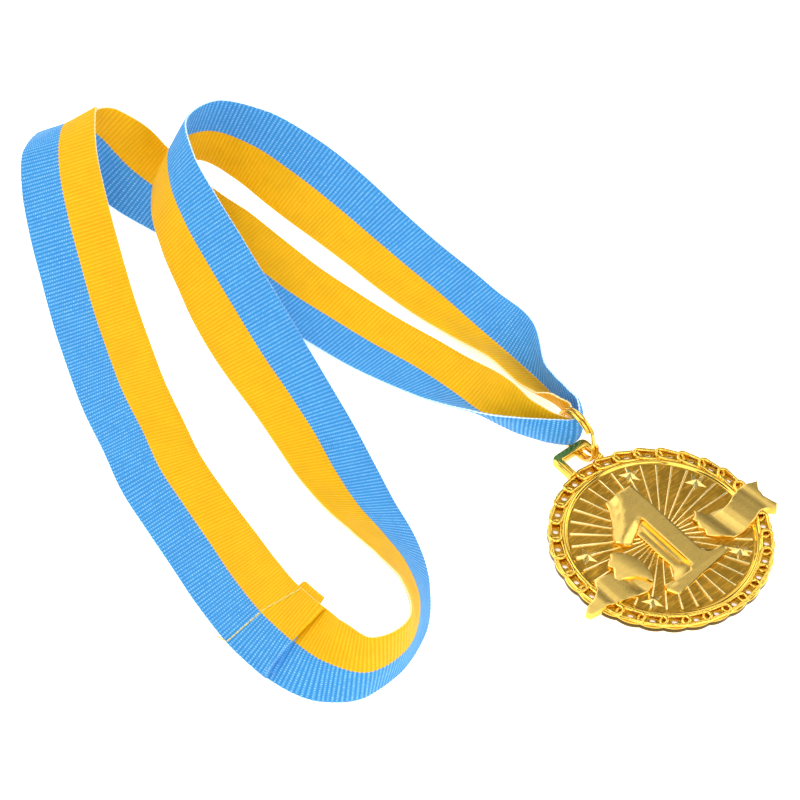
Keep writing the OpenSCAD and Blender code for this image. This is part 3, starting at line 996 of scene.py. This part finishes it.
def rim_base(sizes):
    """One segment between its hole and its frame, copied around and given its thickness."""
    bm = bmesh.new()
    hole = circle(bm, 16, BASE_HOLE, shifted(LINK_RADIUS, 0, BASE_TOP))
    inner, *between, outer = BASE_PLACES
    quarters = (-0.5, -0.25, 0, 0.25, 0.5)
    frame_points = ([(inner, a) for a in quarters] + [(r, 0.5) for r in between]
                    + [(outer, -a) for a in quarters] + [(r, -0.5) for r in reversed(between)])
    loop = [bm.verts.new(scaled(r * math.cos(a * LINK_STEP), r * math.sin(a * LINK_STEP), BASE_TOP))
            for r, a in frame_points]
    ring = [bm.edges.new((loop[i - 1], loop[i])) for i in range(len(loop))]
    bmesh.ops.bridge_loops(bm, edges=ring + list(edges_at(hole)))
    bmesh.ops.rotate(bm, verts=bm.verts, cent=(0, 0, 0), matrix=Matrix.Rotation(LINK_STEP / 2, 3, "Z"))
    around(bm, LINK_STEP, LINKS)
    bmesh.ops.remove_doubles(bm, verts=bm.verts, dist=2e-6)
    thicken(bm, bm.faces, -BASE_DEPTH)
    face_outward(bm)
    # the base takes the darker recess gold, a painted shade
    cast_piece("rim_base", bm, recess_shade(sizes), smooth=40)


def rim_wall(sizes):
    """Scalloped wall: two rings bridged, one arch a link."""
    bm = bmesh.new()
    for radius in (RIM_RADIUS, WALL_INNER):
        circle(bm, LINKS * 8, radius, shifted(0, 0, WALL_TOP))
    for v in bm.verts:
        s = 2 * from_link(v.co)
        if v.co.xy.length > (RIM_RADIUS - NOTCH) * MM:
            v.co.xy *= (RIM_RADIUS - NOTCH * s * s) / RIM_RADIUS
    bmesh.ops.bridge_loops(bm, edges=list(bm.edges))
    thicken(bm, bm.faces, -WALL_TOP)
    face_outward(bm)
    rounded(bm, [e for e in bm.edges if len(e.link_faces) == 2 and e.calc_face_angle(0) > 1.2], 0.25)
    # steep side faces outside the notches take the dark gold, a painted dark reflection; the notches stay
    # polished
    for face in bm.faces:
        in_notch = abs(from_link(face.calc_center_median())) > 0.45
        face.material_index = int(abs(face.normal.z) < 0.2 and not in_notch)
    piece = cast_piece("rim_wall", bm, polished(sizes), smooth=40)
    piece.data.materials.append(painted_dark_reflection(sizes))


def rim_links(sizes):
    """The ring of chain links. The first one lies below the eye."""
    bm = bmesh.new()
    for k in range(LINKS):
        oval_link(bm, math.pi / 2 + k * LINK_STEP)
    face_outward(bm)
    cast_piece("rim_links", bm, cast_links(sizes), smooth=60)


def eye(sizes):
    """Square frame that the split ring runs through."""
    bm = bmesh.new()
    relief(bm, EYE_OUTLINE, EYE_LOW, lambda x, y: EYE_TOP, 0.5, corners=EYE_CORNERS)
    face_outward(bm)
    cast_piece("eye", bm, polished(sizes), smooth=50)


def star(bm, turn, distance):
    """A five-pointed star with a short edge and a faceted peak."""
    a = math.radians(turn)
    place = (shifted(distance * math.cos(a), distance * math.sin(a), FIELD_TOP - 0.3)
             @ Matrix.Rotation(math.pi / 2, 4, "Z"))
    middle = place.translation
    rim = circle(bm, 10, STAR_RADIUS, place, cap_ends=True)
    tips = sorted(rim, key=lambda v: math.atan2(v.co.y - middle.y, v.co.x - middle.x) % (2 * math.pi))
    first = max(range(10), key=lambda i: tips[i].co.y)
    for i, v in enumerate(tips):
        if (i - first) % 2:
            v.co = middle + (v.co - middle) * STAR_WAIST
    grown = thicken(bm, rim[0].link_faces, STAR_EDGE)
    peak = bmesh.ops.poke(bm, faces=[part for part in grown if isinstance(part, bmesh.types.BMFace)])["verts"]
    bmesh.ops.translate(bm, verts=peak, vec=scaled(0, 0, STAR_PEAK))


def numeral(sizes):
    """The numeral in two levels, with a fine rib on the lower one."""
    bm = bmesh.new()
    cuts = strips(90, -14.5, -10, 0.75) + strips(90, -8, 6, 2) + [(0, -4.6)]
    relief(bm, NUMERAL_STEP, FIELD_TOP - 0.4, numeral_step, 0.35, cuts)
    # a fine rib runs along the lower step beside the stem
    before = set(bm.verts)
    rib_size = Matrix.Diagonal((1.5 * MM, 16 * MM, 0.8 * MM, 1))
    bmesh.ops.create_cube(bm, size=1, matrix=shifted(-2.5, -2.6, 3.05) @ rib_size)
    rounded(bm, edges_at(added(bm, before)), 0.2)
    cuts = (strips(133.4, 4.19, 18.8, 0.9) + strips(43.4, -7, 12, 1.3) + strips(90, -18.2, -15.2, 1)
            + strips(90, -13.9, 16.8, 1.8) + strips(0, -10, -2, 2) + [(0, x) for x in (-0.3, 0.6, 3.2, 4.1)])
    relief(bm, NUMERAL_FACE, FIELD_TOP - 0.4, numeral_face, 0.4, cuts)
    polish_edges(cast_piece("numeral", bm, satin_relief(sizes), smooth=35), sizes)


def stars(sizes):
    """The five stars on the field."""
    bm = bmesh.new()
    for turn, distance in STARS:
        star(bm, turn, distance)
    face_outward(bm)
    cast_piece("stars", bm, faceted(sizes))


def banner(sizes):
    """Two halves of the banner and the roll at the end of the left one."""
    bm = bmesh.new()
    relief(bm, BANNER_RIGHT, BANNER_LOW, banner_right, 0.3,
           strips(0, 9.5, 35, 0.8) + strips(90, -13.2, -1, 1.1))
    relief(bm, BANNER_LEFT, BANNER_LOW, banner_left, 0.3,
           strips(0, -35.5, -14.5, 0.8) + strips(90, -11.6, -1, 1.1))
    relief(bm, ROLL_LEFT, FIELD_TOP, banner_roll, 0.3,
           strips(0, -23, -11.5, 0.8) + strips(90, -10, 2.8, 1.0))
    # painted light: the banner takes a copy of the relief gold lightened by a fifth
    piece = cast_piece("banner", bm, satin_relief(sizes, "satin_banner_lightened", 1.2), smooth=40)
    polish_edges(piece, sizes)


COIL_SPACE = 0.06
SPLIT_START = math.radians(130)
HALF_SPLIT = math.radians(16)
RING_PLACE = (2.75, 38.7, 8.5 + 0.63 * math.sin(math.radians(4)))
RING_TURN = math.radians(-5)
RING_LEAN = math.radians(-4)


def ring_coil(sizes):
    """The split ring: two flat coils joined by a jog."""
    wire, radius = sizes.wire / 2, sizes.ring / 2 - sizes.wire / 2
    gap = sizes.wire + COIL_SPACE * MM
    bm = bmesh.new()
    first = (Matrix.Translation((-gap / 2, 0, 0)) @ Matrix.Rotation(SPLIT_START, 4, "X")
             @ Matrix.Translation((0, radius, 0)))
    ring = circle(bm, 12, wire / MM, first, cap_ends=True)
    geom = attached(ring)
    full = 2 * math.pi - 2 * HALF_SPLIT
    for turn, steps, shift in ((full, 64, 0), (2 * HALF_SPLIT, 8, gap / 8), (full, 64, 0)):
        geom = bmesh.ops.spin(
            bm, geom=geom, cent=(0, 0, 0), axis=(-1, 0, 0), dvec=(shift, 0, 0), angle=turn,
            steps=steps)["geom_last"]
    face_outward(bm)
    rounded(bm, [e for f in bm.faces if len(f.verts) == 12 for e in f.edges], 0.15)
    place = shifted(*RING_PLACE) @ Matrix.Rotation(RING_TURN, 4, "Z") @ Matrix.Rotation(RING_LEAN, 4, "Y")
    bmesh.ops.transform(bm, matrix=place, verts=bm.verts)
    piece = finish_piece("ring_coil", bm, polished(sizes), smooth=50)
    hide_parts("split_ring")


# Stage

MIDDLE = (CAD_BOX[0] + CAD_BOX[1]) / 2
FLOOR_SIZE = 3.0
FLOOR_DROP = 0.0002
WINDOWS = 5  # bright windows around the room
BEAM_TURNS = 22  # turn of the beam wave from wall to wall, radians
LIGHTS = (  # name, azimuth and elevation in degrees, distance, size, watts
    ("key", -150, 50, 1.6, 1.2, 12),
    ("fill", 60, 40, 1.8, 1.0, 4),
    ("front", -60, 65, 1.8, 0.8, 4),
    ("low", -15, 18, 1.6, 1.0, 10))
CAMERA_AIM = (-24.02, 84.82, 0)


def direction_to(azimuth, elevation):
    """From the medal toward a place around it."""
    level = math.cos(elevation)
    return Vector((math.sin(azimuth) * level, -math.cos(azimuth) * level, math.sin(elevation)))


def soft_light(name, azimuth, elevation, distance, size, watts, strength):
    """A square soft light that faces the object."""
    data = bpy.data.lights.new(name, "AREA")
    data.shape = "SQUARE"
    data.size = size
    data.energy = watts * strength
    lamp = add_object(name, data)
    back = direction_to(math.radians(azimuth), math.radians(elevation))
    lamp.location = MIDDLE + back * distance
    lamp.rotation_mode = "QUATERNION"
    lamp.rotation_quaternion = (-back).to_track_quat("-Z", "Y")


def soft_room(sizes):
    """Bright windows and darker walls around, under a pale ceiling."""
    world = bpy.data.worlds.new("soft_room")
    world.use_nodes = True
    tree = world.node_tree
    x, y, z = parts_of(signal(tree, "TexCoord", output="Generated"))
    windows = (y.math("ARCTAN2", x) * WINDOWS + sizes.window_turn).math("SINE")
    windows = windows.smooth(-0.05, 0.35, 0.16, 1.8)
    ceiling, low_wall = z.smooth(0.62, 0.86), z.smooth(-0.05, 0.3)
    # dark beams cross the ceiling, so that polished edges glint
    beams = (x * BEAM_TURNS).math("SINE").smooth(-0.3, 0.2, 0.15, 1.5)
    bright = windows * low_wall * z.smooth(0.62, 0.86, 1.0, 0.0) + ceiling * beams
    feed(tree.nodes["Background"], {
        "Color": bright.tinted((1, 0.985, 0.96)), "Strength": 1.3 * sizes.light})
    return world


def floor():
    """Pale surface under the whole object."""
    bm = bmesh.new()
    bmesh.ops.create_grid(bm, x_segments=1, y_segments=1, size=FLOOR_SIZE)
    bmesh.ops.translate(bm, verts=bm.verts, vec=(MIDDLE.x, MIDDLE.y, -FLOOR_DROP))
    mesh_object("surface", bm, surface_material())


def camera(sizes):
    """Camera that looks down on the object, tipped a little."""
    data = bpy.data.cameras.new("camera")
    data.sensor_width = 36
    data.lens = sizes.lens
    data.clip_end = 20
    seen_by = add_object("camera", data)
    back = direction_to(sizes.azimuth, sizes.elevation)
    right = Vector((math.cos(sizes.azimuth), math.sin(sizes.azimuth), 0))
    level = back.cross(right)
    tipped_right = right * math.cos(sizes.roll) + level * math.sin(sizes.roll)
    tipped_up = level * math.cos(sizes.roll) - right * math.sin(sizes.roll)
    turned = Matrix((tipped_right, tipped_up, back)).transposed().to_4x4()
    seen_by.matrix_world = Matrix.Translation(scaled(*CAMERA_AIM) + back * sizes.distance) @ turned
    return seen_by


# Operators

def build(sizes, *pieces):
    """Make the pieces in order."""
    for piece in pieces:
        piece(sizes)
    return {"FINISHED"}


class MEDAL_OT_ribbon(bpy.types.Operator):
    """Weave the neck ribbon along its course, with its two sewn ends"""
    bl_idname = "medal.ribbon"
    bl_label = "Neck Ribbon"

    def execute(self, context):
        return build(context.scene.medal_ribbon, neck_ribbon)


class MEDAL_OT_thread(bpy.types.Operator):
    """Sew the ends of the ribbon together with short stitches"""
    bl_idname = "medal.thread"
    bl_label = "Seam Thread"

    def execute(self, context):
        return build(context.scene.medal_ribbon, seam_thread)


class MEDAL_OT_disc(bpy.types.Operator):
    """Turn the disc with its smooth ridge and set the rays on its field"""
    bl_idname = "medal.disc"
    bl_label = "Disc and Rays"

    def execute(self, context):
        return build(context.scene.medal_metal, disc, rays)


class MEDAL_OT_rim(bpy.types.Operator):
    """Cast the pierced rim: base with its holes, scalloped wall and chain links"""
    bl_idname = "medal.rim"
    bl_label = "Chain Rim"

    def execute(self, context):
        return build(context.scene.medal_metal, rim_base, rim_wall, rim_links)


class MEDAL_OT_eye(bpy.types.Operator):
    """Cast the square eye at the top of the medal"""
    bl_idname = "medal.eye"
    bl_label = "Eye"

    def execute(self, context):
        return build(context.scene.medal_metal, eye)


class MEDAL_OT_relief(bpy.types.Operator):
    """Raise the numeral, the stars and the two halves of the banner"""
    bl_idname = "medal.relief"
    bl_label = "Numeral, Stars and Banner"

    def execute(self, context):
        return build(context.scene.medal_metal, numeral, stars, banner)


class MEDAL_OT_split_ring(bpy.types.Operator):
    """Wind the split ring: two flat coils joined by a jog"""
    bl_idname = "medal.split_ring"
    bl_label = "Split Ring"

    def execute(self, context):
        return build(context.scene.medal_metal, ring_coil)


class MEDAL_OT_stage(bpy.types.Operator):
    """Lay the pale surface, light it softly and set up the camera"""
    bl_idname = "medal.stage"
    bl_label = "Stage"

    def execute(self, context):
        scene, sizes = context.scene, context.scene.medal_stage
        floor()
        scene.world = soft_room(sizes)
        for light in LIGHTS:
            soft_light(*light, sizes.light)
        scene.camera = camera(sizes)
        scene.view_settings.view_transform = "Standard"
        scene.view_settings.look = "None"
        return {"FINISHED"}


class MEDAL_PT_panel(bpy.types.Panel):
    """Sizes, colours and build buttons of the medal"""
    bl_idname = "MEDAL_PT_panel"
    bl_label = "Medal"
    bl_space_type = "VIEW_3D"
    bl_region_type = "UI"
    bl_category = "Medal"

    def draw(self, context):
        layout = self.layout
        for group, operators in PANEL_ROWS:
            box = layout.box()
            sizes = getattr(context.scene, group)
            for key in sizes.__annotations__:
                box.prop(sizes, key)
            for operator in operators:
                box.operator(operator)


PANEL_ROWS = (
    ("medal_ribbon", ("medal.ribbon", "medal.thread")),
    ("medal_metal", ("medal.disc", "medal.rim", "medal.eye", "medal.relief", "medal.split_ring")),
    ("medal_stage", ("medal.stage",)))
GROUPS = {"medal_ribbon": RibbonSizes, "medal_metal": MetalSizes, "medal_stage": StageSizes}
CLASSES = (
    RibbonSizes, MetalSizes, StageSizes, MEDAL_OT_ribbon, MEDAL_OT_thread, MEDAL_OT_disc, MEDAL_OT_rim,
    MEDAL_OT_eye, MEDAL_OT_relief, MEDAL_OT_split_ring, MEDAL_OT_stage, MEDAL_PT_panel)


def register():
    for cls in CLASSES:
        bpy.utils.register_class(cls)
    for name, group in GROUPS.items():
        setattr(bpy.types.Scene, name, PointerProperty(type=group))


def unregister():
    for name in GROUPS:
        delattr(bpy.types.Scene, name)
    for cls in reversed(CLASSES):
        bpy.utils.unregister_class(cls)


def main():
    register()
    bpy.ops.medal.stage()
    bpy.ops.medal.disc()
    bpy.ops.medal.rim()
    bpy.ops.medal.eye()
    bpy.ops.medal.relief()
    bpy.ops.medal.split_ring()
    bpy.ops.medal.ribbon()
    bpy.ops.medal.thread()


if __name__ == "__main__":
    main()
